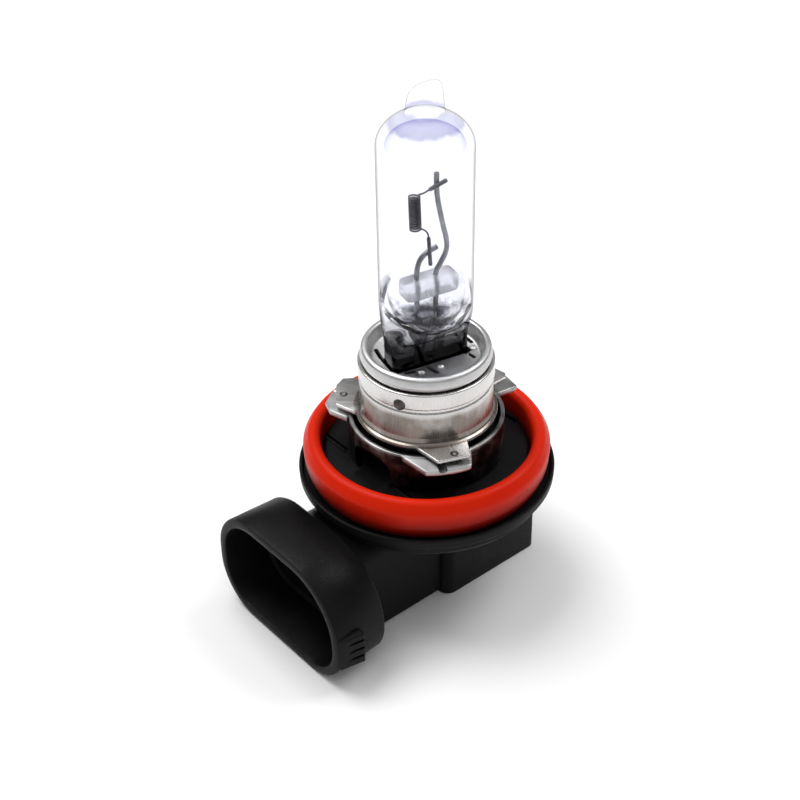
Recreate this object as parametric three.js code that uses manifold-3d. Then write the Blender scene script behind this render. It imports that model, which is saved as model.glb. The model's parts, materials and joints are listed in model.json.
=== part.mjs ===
// Automotive halogen headlight bulb with a right-angle plug-in base.
//
// Frame: millimetres, +Z up along the bulb's axis, origin on that axis at the underside of the base.
// The connector socket opens towards -Y. From the bottom up: moulded base with its socket and seal,
// sheet-metal locating ring, steel collar, holder cup, and the quartz capsule with its filament.

import * as THREE from 'three';
import { mergeVertices } from 'three/addons/utils/BufferGeometryUtils.js';
import Module from 'manifold-3d';

const wasm = await Module();
wasm.setup();

// ---- Driving dimensions ----

const ROUND_SIDES = 48;
const ARC_STEPS = 6;
const THROUGH = 1;                  // how far a cutting tool runs past the face that it cuts

const FLANGE_TOP = 16.5;            // top of the flange's rim
const FLANGE_RADIUS = 15.85;
const LIP_WIDTH = 0.45;
const CHANNEL_FLOOR = FLANGE_TOP - 0.8;
const HUB_RADIUS = 12.6;
const HUB_TOP = FLANGE_TOP + 2.1;
const TURRET_RADIUS = 8.5;
const TURRET_TOP = FLANGE_TOP + 5.9;
const TURRET_BORE = 6.6;

const BLOCK_HALF_WIDTH = 7.4;       // the block under the flange, which fingers grip
const BLOCK_FRONT = -3.2;
const BLOCK_REAR = 12.2;
const BLOCK_TOP = FLANGE_TOP - 2.6;
const NECK_HALF_WIDTH = 6.1;
const NECK_TOP = FLANGE_TOP - 2.5;
const NECK_CLEARANCE = 0.15;        // the neck's underside stands this far off the floor

const MOUTH_Y = -23.65;             // plane of the socket's open end
const SHROUD_REAR_Y = -16.1;
const SHROUD = { left: -12.15, right: 11.4, bottom: 0, top: 15.2, tl: 7.2, tr: 8.6, br: 5.8, bl: 6.2 };
const SHROUD_WALL = 1.3;
const SOCKET_FLOOR_Y = -17.3;
const POCKET_FLOOR_Y = -13.6;

const BLADE_WIDTH = 2.8;
const BLADE_THICKNESS = 0.8;
const BLADE_PITCH = 6.4;
const BLADE_HEIGHT = 7.3;
const BLADE_TIP_Y = -19.0;
const STRAP_THICKNESS = 0.6;
const STRAP_WIDTH = 1.0;

const RING_RADIUS = 9.5;            // locating ring, 19 mm across
const RING_WALL = 0.55;
const RING_BOTTOM = HUB_TOP + 0.3;
const RING_TOP = FLANGE_TOP + 7.4;
const LUG_AZIMUTHS = [-27, -147, 93];

const COLLAR_BOTTOM = FLANGE_TOP + 7.8;
const COLLAR_TOP = FLANGE_TOP + 15.3;
const COLLAR_BORE = 7.7;

const CUP_RIM_TOP = FLANGE_TOP + 17.2;
const CUP_FLOOR = FLANGE_TOP + 15.4;
const CUP_SKIRT_RADIUS = 7.4;
const CUP_SKIRT_BOTTOM = 27.0;

const CAPSULE_TURN = 77;            // direction of the pinch's long side, in degrees from +X
const PINCH_HALF_WIDTH = 5.0;
const PINCH_HALF_THICKNESS = 1.6;
const PINCH_BOTTOM = 26.0;
const PINCH_TOP = 36.4;
const CLIP_BOTTOM = 27.6;
const CLIP_TOP = 30.4;
const BULB_BOTTOM = 34.6;
const GAS_SPACE_BOTTOM = 37.0;
const GLASS_RADIUS = 5.5;
const GLASS_WALL = 0.9;
const GLASS_SHOULDER = FLANGE_TOP + 42.8;
const DOME_HEIGHT = 4.1;
const TOTAL_HEIGHT = 67.0;

const FOOT_LEFT = -1.2;             // where the two wires rise out of the pinch
const FOOT_RIGHT = 1.3;
const WIRE_RADIUS = 0.3;
const WIRE_FOOT = 37.7;
const FOIL_BOTTOM = 29.6;
const FOIL_TOP = 37.4;
const BRIDGE_BOTTOM = 40.6;
const BRIDGE_TOP = 42.8;
const BRIDGE_LEFT = -3.0;
const BRIDGE_RIGHT = 3.8;
const PLUG_BOTTOM = 17.0;
const PLUG_TOP = 18.6;

const COIL_X = -1.34;
const COIL_BOTTOM = FLANGE_TOP + 32.7;
const COIL_LENGTH = 4.6;
const COIL_RADIUS = 0.6;
const CRIMP_Y = -0.66;
const COIL_WIRE_RADIUS = 0.11;
const COIL_TURNS = 9;

// ---- Materials ----

function material(color, roughness, metalness, opacity = 1) {
  return new THREE.MeshStandardMaterial({
    color, roughness, metalness, opacity, transparent: opacity < 1,
  });
}

const moulding = () => material(0x1b1b1c, 0.55, 0);
const sealRubber = () => material(0xd42a0c, 0.45, 0);
const steel = () => material(0xc9cacb, 0.28, 1);
const quartz = () => material(0xeef0fb, 0.05, 0, 0.3);
const tungsten = () => material(0x4b4b50, 0.5, 1);
const molybdenum = () => material(0x8d8e94, 0.4, 1);
const tinned = () => material(0xb9b7b0, 0.35, 1);
const resin = () => material(0x2a2725, 0.7, 0);

// ---- Solids ----

// Turns a closed geometry into a solid that can be joined or cut.
function solid(geometry) {
  const bare = geometry.clone();
  bare.deleteAttribute('normal');
  bare.deleteAttribute('uv');
  const merged = mergeVertices(bare, 1e-4);
  const triangles = [];
  const index = merged.index.array;
  for (let i = 0; i < index.length; i += 3) {
    const [a, b, c] = [index[i], index[i + 1], index[i + 2]];
    if (a !== b && b !== c && c !== a) {
      triangles.push(a, b, c);
    }
  }
  return new wasm.Manifold(new wasm.Mesh({
    numProp: 3,
    vertProperties: new Float32Array(merged.attributes.position.array),
    triVerts: new Uint32Array(triangles),
  }));
}

function geometryOf(body) {
  const mesh = body.getMesh();
  const geometry = new THREE.BufferGeometry();
  geometry.setAttribute('position', new THREE.BufferAttribute(mesh.vertProperties, 3));
  geometry.setIndex(new THREE.BufferAttribute(mesh.triVerts, 1));
  geometry.computeVertexNormals();
  return geometry;
}

function joined(first, ...others) {
  return others.reduce((sum, other) => sum.add(other), first);
}

function cut(body, ...tools) {
  return tools.reduce((rest, tool) => rest.subtract(tool), body);
}

// Revolves a list of [radius, height] points, run anticlockwise, about the Z axis.
function revolved(profile, sides = ROUND_SIDES) {
  const points = profile.map(([radius, height]) => new THREE.Vector2(radius, height));
  return solid(new THREE.LatheGeometry(points, sides).rotateX(Math.PI / 2));
}

// A closed ring: its profile returns to its first point.
function revolvedRing(profile, sides = ROUND_SIDES) {
  return revolved([...profile, profile[0]], sides);
}

function block(low, high) {
  const size = high.map((value, axis) => value - low[axis]);
  const centre = high.map((value, axis) => (value + low[axis]) / 2);
  return solid(new THREE.BoxGeometry(...size).translate(...centre));
}

function roundedOutline({ left, right, bottom, top, tl, tr, br, bl }) {
  const shape = new THREE.Shape();
  shape.moveTo(left + bl, bottom);
  shape.lineTo(right - br, bottom);
  shape.absarc(right - br, bottom + br, br, -Math.PI / 2, 0);
  shape.lineTo(right, top - tr);
  shape.absarc(right - tr, top - tr, tr, 0, Math.PI / 2);
  shape.lineTo(left + tl, top);
  shape.absarc(left + tl, top - tl, tl, Math.PI / 2, Math.PI);
  shape.lineTo(left, bottom + bl);
  shape.absarc(left + bl, bottom + bl, bl, Math.PI, Math.PI * 1.5);
  return shape;
}

function inset(outline, amount) {
  return {
    left: outline.left + amount,
    right: outline.right - amount,
    bottom: outline.bottom + amount,
    top: outline.top - amount,
    tl: outline.tl - amount,
    tr: outline.tr - amount,
    br: outline.br - amount,
    bl: outline.bl - amount,
  };
}

// Extrudes an outline drawn in X and Z from yRear forwards to yFront.
function alongY(outline, yFront, yRear) {
  const geometry = new THREE.ExtrudeGeometry(roundedOutline(outline), {
    depth: yRear - yFront, bevelEnabled: false, curveSegments: ARC_STEPS,
  });
  return solid(geometry.rotateX(Math.PI / 2).translate(0, yRear, 0));
}

// Extrudes an outline drawn in X and Y from zLow to zHigh.
function upright(shape, zLow, zHigh) {
  const geometry = new THREE.ExtrudeGeometry(shape, {
    depth: zHigh - zLow, bevelEnabled: false, curveSegments: ARC_STEPS,
  });
  return solid(geometry.translate(0, 0, zLow));
}

function polygon(points) {
  return new THREE.Shape(points.map(([x, y]) => new THREE.Vector2(x, y)));
}

function rectangle(left, right, front, rear, corner) {
  return roundedOutline({
    left, right, bottom: front, top: rear, tl: corner, tr: corner, br: corner, bl: corner,
  });
}

// A round wire along a smooth curve through the points given.
function wire(points, radius, steps, sides = 8) {
  const path = new THREE.CatmullRomCurve3(points.map((point) => new THREE.Vector3(...point)));
  const section = new THREE.Shape();
  for (let i = 0; i < sides; i += 1) {
    const angle = (i / sides) * Math.PI * 2;
    const [x, y] = [Math.cos(angle) * radius, Math.sin(angle) * radius];
    if (i === 0) {
      section.moveTo(x, y);
    } else {
      section.lineTo(x, y);
    }
  }
  return solid(new THREE.ExtrudeGeometry(section, { steps, extrudePath: path, bevelEnabled: false }));
}

function turnedAbout(body, degrees) {
  return body.rotate([0, 0, degrees]);
}

function named(name, body, surface) {
  const mesh = new THREE.Mesh(geometryOf(body), surface);
  mesh.name = name;
  return mesh;
}

// ---- Moulded base ----

const SOCKET = inset(SHROUD, SHROUD_WALL);
const CAVITY = { left: -5.6, right: 5.6, front: -10.6, rear: 10.4, bottom: 1.6, top: 12.4 };
const POCKET = {
  left: -5.0, right: 5.0, bottom: BLADE_HEIGHT - 3.4, top: BLADE_HEIGHT + 3.4, tl: 1, tr: 1, br: 1, bl: 1,
};
const COVER_THICKNESS = 1.4;
const COVER_LEDGE = 0.7;
const COVER_GAP = 0.15;
const WINDOW_AZIMUTH = -87;
const WINDOW_HALF_WIDTH = 3.1;

function flangeAndTurret() {
  const lipInner = FLANGE_RADIUS - LIP_WIDTH;
  return revolved([
    [0, FLANGE_TOP - 3],
    [14.6, FLANGE_TOP - 3],
    [15.1, FLANGE_TOP - 2.4],
    [15.1, FLANGE_TOP - 1.3],
    [FLANGE_RADIUS - 0.1, FLANGE_TOP - 1.2],
    [FLANGE_RADIUS, FLANGE_TOP - 0.15],
    [FLANGE_RADIUS - 0.15, FLANGE_TOP],
    [lipInner, FLANGE_TOP],
    [lipInner - 0.1, CHANNEL_FLOOR],
    [HUB_RADIUS, CHANNEL_FLOOR],
    [HUB_RADIUS, HUB_TOP - 0.2],
    [HUB_RADIUS - 0.2, HUB_TOP],
    [TURRET_RADIUS, HUB_TOP],
    [TURRET_RADIUS, TURRET_TOP],
    [0, TURRET_TOP],
  ]);
}

function latchRamp() {
  const rampTop = 8.3;
  const rampBottom = 3.7;
  const grooveHeight = 0.35;
  const wedge = upright(polygon([
    [SHROUD.right - 0.7, MOUTH_Y + 0.2],
    [SHROUD.right + 0.1, MOUTH_Y + 0.2],
    [SHROUD.right + 0.75, MOUTH_Y + 3.6],
    [SHROUD.right - 0.7, MOUTH_Y + 3.6],
  ]), rampBottom, rampTop);
  const grooves = [5.1, 6.7].map((height) => block(
    [SHROUD.right + 0.3, MOUTH_Y, height],
    [SHROUD.right + 2, MOUTH_Y + 4, height + grooveHeight],
  ));
  return cut(wedge, ...grooves);
}

function leadWindow() {
  const window = block(
    [TURRET_RADIUS - 1.6, -WINDOW_HALF_WIDTH, HUB_TOP - 0.4],
    [HUB_RADIUS - 2.4, WINDOW_HALF_WIDTH, RING_TOP - 1.4],
  );
  return turnedAbout(window, WINDOW_AZIMUTH);
}

function hubRibGrooves() {
  const groove = block([-1.9, -0.12, HUB_TOP - 0.3], [1.9, 0.12, HUB_TOP + THROUGH]);
  return [[-7.5, -8.0], [5.0, -8.1], [2.1, 11.4]].map(([x, y]) => groove.translate([x, y, 0]));
}

function baseBody() {
  const gripBlock = upright(roundedOutline({
    left: -BLOCK_HALF_WIDTH, right: BLOCK_HALF_WIDTH, bottom: BLOCK_FRONT, top: BLOCK_REAR,
    tl: 0.8, tr: 0.8, br: 1.5, bl: 1.5,
  }), 0, BLOCK_TOP);
  const neck = alongY({
    left: -NECK_HALF_WIDTH, right: NECK_HALF_WIDTH, bottom: NECK_CLEARANCE, top: NECK_TOP,
    tl: 3.6, tr: 3.6, br: 0.8, bl: 0.8,
  }, SHROUD_REAR_Y - 0.5, 2);
  const shroud = alongY(SHROUD, MOUTH_Y, SHROUD_REAR_Y);
  const outer = joined(gripBlock, neck, shroud, latchRamp(), flangeAndTurret());
  const socket = alongY(SOCKET, MOUTH_Y - THROUGH, SOCKET_FLOOR_Y);
  const pocket = alongY(POCKET, SOCKET_FLOOR_Y - THROUGH, POCKET_FLOOR_Y);
  const cavity = block(
    [CAVITY.left, CAVITY.front, CAVITY.bottom - THROUGH],
    [CAVITY.right, CAVITY.rear, CAVITY.top],
  );
  const coverSeat = block(
    [CAVITY.left - COVER_LEDGE, BLOCK_FRONT + 0.8, -THROUGH],
    [CAVITY.right + COVER_LEDGE, CAVITY.rear + COVER_LEDGE, COVER_THICKNESS + COVER_GAP],
  );
  const cavityFloor = block(
    [CAVITY.left - THROUGH, CAVITY.front - THROUGH, 0],
    [CAVITY.right + THROUGH, BLOCK_FRONT + 0.8, CAVITY.bottom],
  );
  const turretBore = revolved([
    [0, CAVITY.top - THROUGH],
    [5.0, CAVITY.top - THROUGH],
    [5.0, FLANGE_TOP],
    [TURRET_BORE, FLANGE_TOP],
    [TURRET_BORE, TURRET_TOP + THROUGH],
    [0, TURRET_TOP + THROUGH],
  ], 32);
  const bladeSlots = [-1, 1].map((side) => block(
    [side * BLADE_PITCH / 2 - BLADE_WIDTH / 2 - 0.15, POCKET_FLOOR_Y - THROUGH,
      BLADE_HEIGHT - BLADE_THICKNESS / 2 - 0.15],
    [side * BLADE_PITCH / 2 + BLADE_WIDTH / 2 + 0.15, CAVITY.front + THROUGH,
      BLADE_HEIGHT + BLADE_THICKNESS / 2 + 0.15],
  ));
  const hollow = cut(cavity, cavityFloor);
  return named('base_body', cut(
    outer, socket, pocket, hollow, coverSeat, turretBore, leadWindow(), ...bladeSlots, ...hubRibGrooves(),
  ), moulding());
}

function bottomCover() {
  const inside = COVER_LEDGE - COVER_GAP;
  const plate = upright(rectangle(
    CAVITY.left - inside, CAVITY.right + inside, BLOCK_FRONT + 0.8 + COVER_GAP, CAVITY.rear + inside, 0.2,
  ), 0, COVER_THICKNESS);
  return named('bottom_cover', plate, moulding());
}

function pottingPlug() {
  const rim = TURRET_BORE - 0.2;
  const disc = revolved([[0, PLUG_BOTTOM], [rim, PLUG_BOTTOM], [rim, PLUG_TOP], [0, PLUG_TOP]], 32);
  const leadHoles = [FOOT_LEFT, FOOT_RIGHT].map((x) => {
    const hole = new THREE.CylinderGeometry(0.7, 0.7, 4, 12).rotateX(Math.PI / 2).translate(x, 0, 18);
    return turnedAbout(solid(hole), CAPSULE_TURN);
  });
  return named('potting_plug', cut(disc, ...leadHoles), resin());
}

function sealRing() {
  const bottom = CHANNEL_FLOOR + 0.2;
  return named('seal_ring', revolvedRing([
    [12.95, bottom],
    [14.4, bottom],
    [14.7, FLANGE_TOP + 0.1],
    [15.1, FLANGE_TOP + 1.4],
    [15.2, FLANGE_TOP + 2.8],
    [15.0, FLANGE_TOP + 3.9],
    [14.5, FLANGE_TOP + 4.5],
    [13.9, FLANGE_TOP + 4.7],
    [13.3, FLANGE_TOP + 4.5],
    [12.95, FLANGE_TOP + 3.9],
  ]), sealRubber());
}

// ---- Contacts ----

function contactBlade(side) {
  const half = BLADE_THICKNESS / 2;
  const [near, far] = [-BLADE_WIDTH / 2, BLADE_WIDTH / 2];
  const tipTaper = 0.7;
  const outline = polygon([
    [near + tipTaper, BLADE_TIP_Y],
    [far - tipTaper, BLADE_TIP_Y],
    [far, BLADE_TIP_Y + 1.2],
    [far, -9.2],
    [0.7, -8.4],
    [0.7, -5.0],
    [-0.7, -5.0],
    [-0.7, -8.4],
    [near, -9.2],
    [near, BLADE_TIP_Y + 1.2],
  ]);
  const blade = upright(outline, BLADE_HEIGHT - half, BLADE_HEIGHT + half);
  const name = side < 0 ? 'contact_blade_left' : 'contact_blade_right';
  return named(name, blade.translate([side * BLADE_PITCH / 2, 0, 0]), tinned());
}

function leadFoot(x) {
  const turn = THREE.MathUtils.degToRad(CAPSULE_TURN);
  return new THREE.Vector2(x * Math.cos(turn), x * Math.sin(turn));
}

// A flat bar from the tail of a contact blade to the foot of its lead.
function leadStrap(side) {
  const start = new THREE.Vector2(side * BLADE_PITCH / 2, -5.8);
  const end = leadFoot(side < 0 ? FOOT_LEFT : FOOT_RIGHT);
  const along = end.clone().sub(start).normalize();
  const across = new THREE.Vector2(-along.y, along.x).multiplyScalar(STRAP_WIDTH / 2);
  const tail = end.clone().addScaledVector(along, 0.4);
  const corners = [
    start.clone().sub(across), tail.clone().sub(across), tail.clone().add(across), start.clone().add(across),
  ];
  const low = BLADE_HEIGHT + BLADE_THICKNESS / 2 + 0.1;
  const bar = upright(new THREE.Shape(corners), low, low + STRAP_THICKNESS);
  return named(side < 0 ? 'lead_strap_left' : 'lead_strap_right', bar, tinned());
}

// ---- Metal ring, collar and cup ----

// A flat lug with the outline given, drawn along +X and then turned to its azimuth.
function lug({ azimuth, outline, innerRadius, low, high }) {
  const bore = revolved([[0, 0], [innerRadius, 0], [innerRadius, TOTAL_HEIGHT], [0, TOTAL_HEIGHT]]);
  return turnedAbout(cut(upright(polygon(outline), low, high), bore), azimuth);
}

function baseRing() {
  const inner = RING_RADIUS - RING_WALL;
  const wall = revolvedRing([
    [inner, RING_BOTTOM], [RING_RADIUS, RING_BOTTOM], [RING_RADIUS, RING_TOP - 0.15],
    [RING_RADIUS - 0.15, RING_TOP], [inner, RING_TOP],
  ]);
  const outline = [
    [7.6, -5.4], [11.6, -3.0], [11.9, -1.5], [12.0, 0], [11.9, 1.4], [11.65, 2.5], [8.8, 3.2],
  ];
  const groove = block([10.2, -1.5, RING_TOP - 0.45], [13, -0.5, RING_TOP + THROUGH]);
  const lugs = LUG_AZIMUTHS.map((azimuth) => cut(
    lug({ azimuth, outline, innerRadius: inner + 0.1, low: RING_TOP - 0.8, high: RING_TOP - 0.05 }),
    turnedAbout(groove, azimuth),
  ));
  return named('base_ring', cut(joined(wall, ...lugs), leadWindow()), steel());
}

function referenceCollar() {
  const sleeve = revolvedRing([
    [COLLAR_BORE, COLLAR_BOTTOM],
    [8.55, COLLAR_BOTTOM],
    [8.64, COLLAR_BOTTOM + 0.2],
    [8.55, COLLAR_BOTTOM + 0.45],
    [8.1, COLLAR_BOTTOM + 0.9],
    [8.1, COLLAR_BOTTOM + 4.7],
    [7.95, COLLAR_BOTTOM + 4.9],
    [7.95, COLLAR_BOTTOM + 5.3],
    [8.2, COLLAR_BOTTOM + 5.6],
    [8.2, COLLAR_TOP - 0.15],
    [8.05, COLLAR_TOP],
    [COLLAR_BORE, COLLAR_TOP],
  ]);
  const outline = [[7.8, -3.4], [11.25, -1.45], [11.0, 2.6], [7.9, 2.9]];
  const lugs = LUG_AZIMUTHS.map((azimuth) => lug({
    azimuth, outline, innerRadius: COLLAR_BORE, low: COLLAR_BOTTOM, high: COLLAR_BOTTOM + 0.45,
  }));
  return named('reference_collar', joined(sleeve, ...lugs), steel());
}

function holderCup() {
  const gap = 0.3;
  const inner = CUP_SKIRT_RADIUS - 0.4;
  const shell = revolved([
    [0, CUP_FLOOR - 0.5],
    [inner, CUP_FLOOR - 0.5],
    [inner, CUP_SKIRT_BOTTOM],
    [CUP_SKIRT_RADIUS, CUP_SKIRT_BOTTOM],
    [CUP_SKIRT_RADIUS, COLLAR_TOP + 0.1],
    [7.65, COLLAR_TOP + 0.2],
    [7.88, CUP_RIM_TOP - 1.2],
    [7.8, CUP_RIM_TOP - 0.5],
    [7.4, CUP_RIM_TOP],
    [7.0, CUP_RIM_TOP - 0.05],
    [6.7, CUP_RIM_TOP - 0.5],
    [6.6, CUP_FLOOR],
    [0, CUP_FLOOR],
  ]);
  const [halfX, halfY] = [PINCH_HALF_WIDTH + gap, PINCH_HALF_THICKNESS + gap];
  const pinchSlot = block([-halfX, -halfY, CUP_FLOOR - 2], [halfX, halfY, CUP_FLOOR + 2]);
  const slot = block([-0.3, -1.0, CUP_FLOOR - 2], [0.3, 1.0, CUP_FLOOR + 0.3]);
  const slots = [[-2.6, -1], [2.6, -1], [-2.6, 1], [2.6, 1]].map(([x, side]) => (
    slot.rotate([0, 0, side * x * 12]).translate([x, side * 4.1, 0])
  ));
  const floorCuts = [pinchSlot, ...slots].map((tool) => turnedAbout(tool, CAPSULE_TURN));
  return named('holder_cup', cut(shell, ...floorCuts), steel());
}

function pinchClip() {
  const gap = 0.3;
  const thickness = 0.35;
  const [innerX, innerY] = [PINCH_HALF_WIDTH + gap, PINCH_HALF_THICKNESS + gap];
  const [outerX, outerY] = [innerX + thickness, innerY + thickness];
  const frame = cut(
    block([-outerX, -outerY, CLIP_BOTTOM], [outerX, outerY, CLIP_TOP]),
    block([-innerX, -innerY, CLIP_BOTTOM - THROUGH], [innerX, innerY, CLIP_TOP + THROUGH]),
  );
  const notchBottom = CLIP_TOP - 1.4;
  const notch = block(
    [-0.8, innerY - THROUGH, notchBottom], [0.8, outerY + THROUGH, CLIP_TOP + THROUGH],
  );
  return named('pinch_clip', cut(frame, notch, notch.rotate([0, 0, 180])), steel());
}

// ---- Capsule: everything here is drawn with X along the pinch's long side ----

// Points up the outside or inside of the bulb's domed end.
function domeProfile(radius, height, endRadius, steps) {
  const points = [];
  const stop = Math.acos(endRadius / radius);
  for (let i = 0; i <= steps; i += 1) {
    const angle = (i / steps) * stop;
    points.push([radius * Math.cos(angle), GLASS_SHOULDER + height * Math.sin(angle)]);
  }
  return points;
}

function glassEnvelope() {
  const sides = 32;
  const stubRadius = 2.15;
  const bulb = revolved([
    [0, BULB_BOTTOM],
    [3.0, BULB_BOTTOM + 0.3],
    [4.6, BULB_BOTTOM + 1.4],
    [5.3, BULB_BOTTOM + 3.0],
    [GLASS_RADIUS, BULB_BOTTOM + 4.8],
    ...domeProfile(GLASS_RADIUS, DOME_HEIGHT, stubRadius + 0.1, 5),
    [stubRadius - 0.1, GLASS_SHOULDER + DOME_HEIGHT + 0.6],
    [stubRadius - 0.35, TOTAL_HEIGHT],
    [0, TOTAL_HEIGHT],
  ], sides);
  const cavityRadius = GLASS_RADIUS - GLASS_WALL;
  const cavity = revolved([
    [0, GAS_SPACE_BOTTOM],
    [2.6, GAS_SPACE_BOTTOM + 0.3],
    [4.1, GAS_SPACE_BOTTOM + 1.6],
    [cavityRadius, GAS_SPACE_BOTTOM + 3.6],
    ...domeProfile(cavityRadius, DOME_HEIGHT - 1.7, 1.2, 4),
    [0, GLASS_SHOULDER + DOME_HEIGHT - 1.7],
  ], sides);
  const pinch = upright(rectangle(
    -PINCH_HALF_WIDTH, PINCH_HALF_WIDTH, -PINCH_HALF_THICKNESS, PINCH_HALF_THICKNESS, 0.7,
  ), PINCH_BOTTOM, PINCH_TOP);
  const passages = [FOOT_LEFT, FOOT_RIGHT].map((x) => block(
    [x - 1.0, -0.5, PINCH_BOTTOM - THROUGH], [x + 1.0, 0.5, GAS_SPACE_BOTTOM + 1.4],
  ));
  const stubSlant = block([-4, -4, 0], [4, 4, 4])
    .rotate([0, -24, 0]).translate([1.0, 0, TOTAL_HEIGHT]);
  return named('glass_envelope', cut(joined(bulb, pinch), cavity, ...passages, stubSlant), quartz());
}

function filamentCoil() {
  const coilTop = COIL_BOTTOM + COIL_LENGTH;
  const points = [[-0.3, -0.55, coilTop + 0.2], [-0.6, -0.2, coilTop + 0.05]];
  const stepsPerTurn = 8;
  for (let i = COIL_TURNS * stepsPerTurn; i >= 0; i -= 1) {
    const angle = (i / stepsPerTurn) * Math.PI * 2;
    points.push([
      COIL_X + COIL_RADIUS * Math.cos(angle),
      COIL_RADIUS * Math.sin(angle),
      COIL_BOTTOM + (i / (COIL_TURNS * stepsPerTurn)) * (COIL_LENGTH - 0.3),
    ]);
  }
  points.push([-0.4, -0.15, COIL_BOTTOM - 0.1]);
  points.push([-0.1, -0.5, COIL_BOTTOM - 0.35]);
  points.push([0.04, CRIMP_Y, COIL_BOTTOM - 0.7]);
  return named('filament_coil', wire(points, COIL_WIRE_RADIUS, COIL_TURNS * 9 + 16, 5), tungsten());
}

// A small crimped tube that joins a filament tail to its support wire.
function crimpSleeve(name, from, to) {
  return named(name, wire([from, to], 0.26, 1), molybdenum());
}

function supportWires() {
  const long = wire([
    [FOOT_RIGHT, 0, WIRE_FOOT],
    [FOOT_RIGHT, 0, 43.0],
    [FOOT_RIGHT + 0.6, 0, 44.2],
    [FOOT_RIGHT + 1.35, 0, 45.3],
    [FOOT_RIGHT + 1.15, 0, 47.2],
    [FOOT_RIGHT + 0.8, 0, 49.0],
    [FOOT_RIGHT + 0.25, 0, 52.3],
    [FOOT_RIGHT + 0.1, 0, 54.2],
    [FOOT_RIGHT + 0.1, 0, 55.7],
  ], WIRE_RADIUS, 22);
  const short = wire([
    [FOOT_LEFT, 0, WIRE_FOOT],
    [FOOT_LEFT, 0, 43.2],
    [FOOT_LEFT + 0.3, 0, 44.8],
    [FOOT_LEFT + 0.75, 0, 45.5],
    [FOOT_LEFT + 1.4, 0, 45.95],
    [FOOT_LEFT + 2.7, 0, 46.3],
  ], WIRE_RADIUS, 16);
  return [named('long_support_wire', long, molybdenum()), named('short_support_wire', short, molybdenum())];
}

function quartzBridge() {
  const body = upright(rectangle(BRIDGE_LEFT, BRIDGE_RIGHT, -1.4, 1.4, 0.6), BRIDGE_BOTTOM, BRIDGE_TOP);
  const bores = [FOOT_LEFT, FOOT_RIGHT].map((x) => {
    const bore = new THREE.CylinderGeometry(0.55, 0.55, 6, 12).rotateX(Math.PI / 2);
    return solid(bore.translate(x, 0, (BRIDGE_BOTTOM + BRIDGE_TOP) / 2));
  });
  return named('quartz_bridge', cut(body, ...bores), quartz());
}

function sealingFoil(name, x) {
  return named(name, block([x - 0.75, -0.06, FOIL_BOTTOM], [x + 0.75, 0.06, FOIL_TOP]), molybdenum());
}

function outerLead(name, x) {
  const strapTop = BLADE_HEIGHT + BLADE_THICKNESS / 2 + 0.1 + STRAP_THICKNESS;
  return named(name, wire([[x, 0, strapTop + 0.3], [x, 0, FOIL_BOTTOM - 0.3]], 0.35, 1), molybdenum());
}

function capsule() {
  const group = new THREE.Group();
  group.rotation.z = THREE.MathUtils.degToRad(CAPSULE_TURN);
  const coilTop = COIL_BOTTOM + COIL_LENGTH;
  group.add(
    glassEnvelope(),
    filamentCoil(),
    crimpSleeve('upper_filament_sleeve', [0.15, CRIMP_Y, coilTop + 0.4], [2.4, CRIMP_Y, coilTop + 1.0]),
    crimpSleeve('lower_filament_sleeve', [0.28, CRIMP_Y, 44.55], [0.05, CRIMP_Y, COIL_BOTTOM - 1.0]),
    ...supportWires(),
    quartzBridge(),
    sealingFoil('sealing_foil_left', FOOT_LEFT),
    sealingFoil('sealing_foil_right', FOOT_RIGHT),
    outerLead('outer_lead_left', FOOT_LEFT),
    outerLead('outer_lead_right', FOOT_RIGHT),
    pinchClip(),
  );
  return group;
}

// ---- The whole bulb ----

const bulb = new THREE.Group();
bulb.add(
  baseBody(),
  bottomCover(),
  sealRing(),
  contactBlade(-1),
  contactBlade(1),
  leadStrap(-1),
  leadStrap(1),
  pottingPlug(),
  baseRing(),
  referenceCollar(),
  holderCup(),
  capsule(),
);

export default bulb;
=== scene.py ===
"""Looks of a halogen headlight bulb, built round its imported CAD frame.

Lengths are in millimetres with Z up the bulb's axis, and each mesh is scaled to metres when it is made.
"""

import json
import math

import bmesh
import bpy
from mathutils import Matrix, Vector

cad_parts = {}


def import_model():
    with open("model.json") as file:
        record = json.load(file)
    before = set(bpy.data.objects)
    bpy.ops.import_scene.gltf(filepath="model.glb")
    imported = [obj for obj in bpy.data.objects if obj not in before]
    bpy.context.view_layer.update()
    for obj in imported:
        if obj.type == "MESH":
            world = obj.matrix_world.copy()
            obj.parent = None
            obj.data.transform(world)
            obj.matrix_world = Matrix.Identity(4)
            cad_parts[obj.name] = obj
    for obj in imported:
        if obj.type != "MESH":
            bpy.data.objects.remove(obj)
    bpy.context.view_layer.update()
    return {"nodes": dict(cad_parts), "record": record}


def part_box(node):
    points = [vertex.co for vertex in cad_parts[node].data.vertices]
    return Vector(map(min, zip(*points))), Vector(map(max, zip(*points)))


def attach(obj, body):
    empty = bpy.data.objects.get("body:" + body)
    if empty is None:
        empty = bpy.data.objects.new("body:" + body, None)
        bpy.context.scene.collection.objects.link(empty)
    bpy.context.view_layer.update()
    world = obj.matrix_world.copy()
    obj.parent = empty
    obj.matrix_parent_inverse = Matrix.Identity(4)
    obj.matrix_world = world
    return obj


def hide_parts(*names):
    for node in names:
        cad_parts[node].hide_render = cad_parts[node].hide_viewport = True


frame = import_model()

MM = 0.001
BODY = "root"


# ---- Places taken from the frame, in millimetres ----

def span(node):
    """Lowest and highest corner of a CAD node, in millimetres."""
    low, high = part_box(node)
    return low / MM, high / MM


def mount_height(name):
    mounts = {mount["name"]: mount for mount in frame["record"]["mounts"]}
    return mounts[name]["pos_m"][2] / MM


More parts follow.
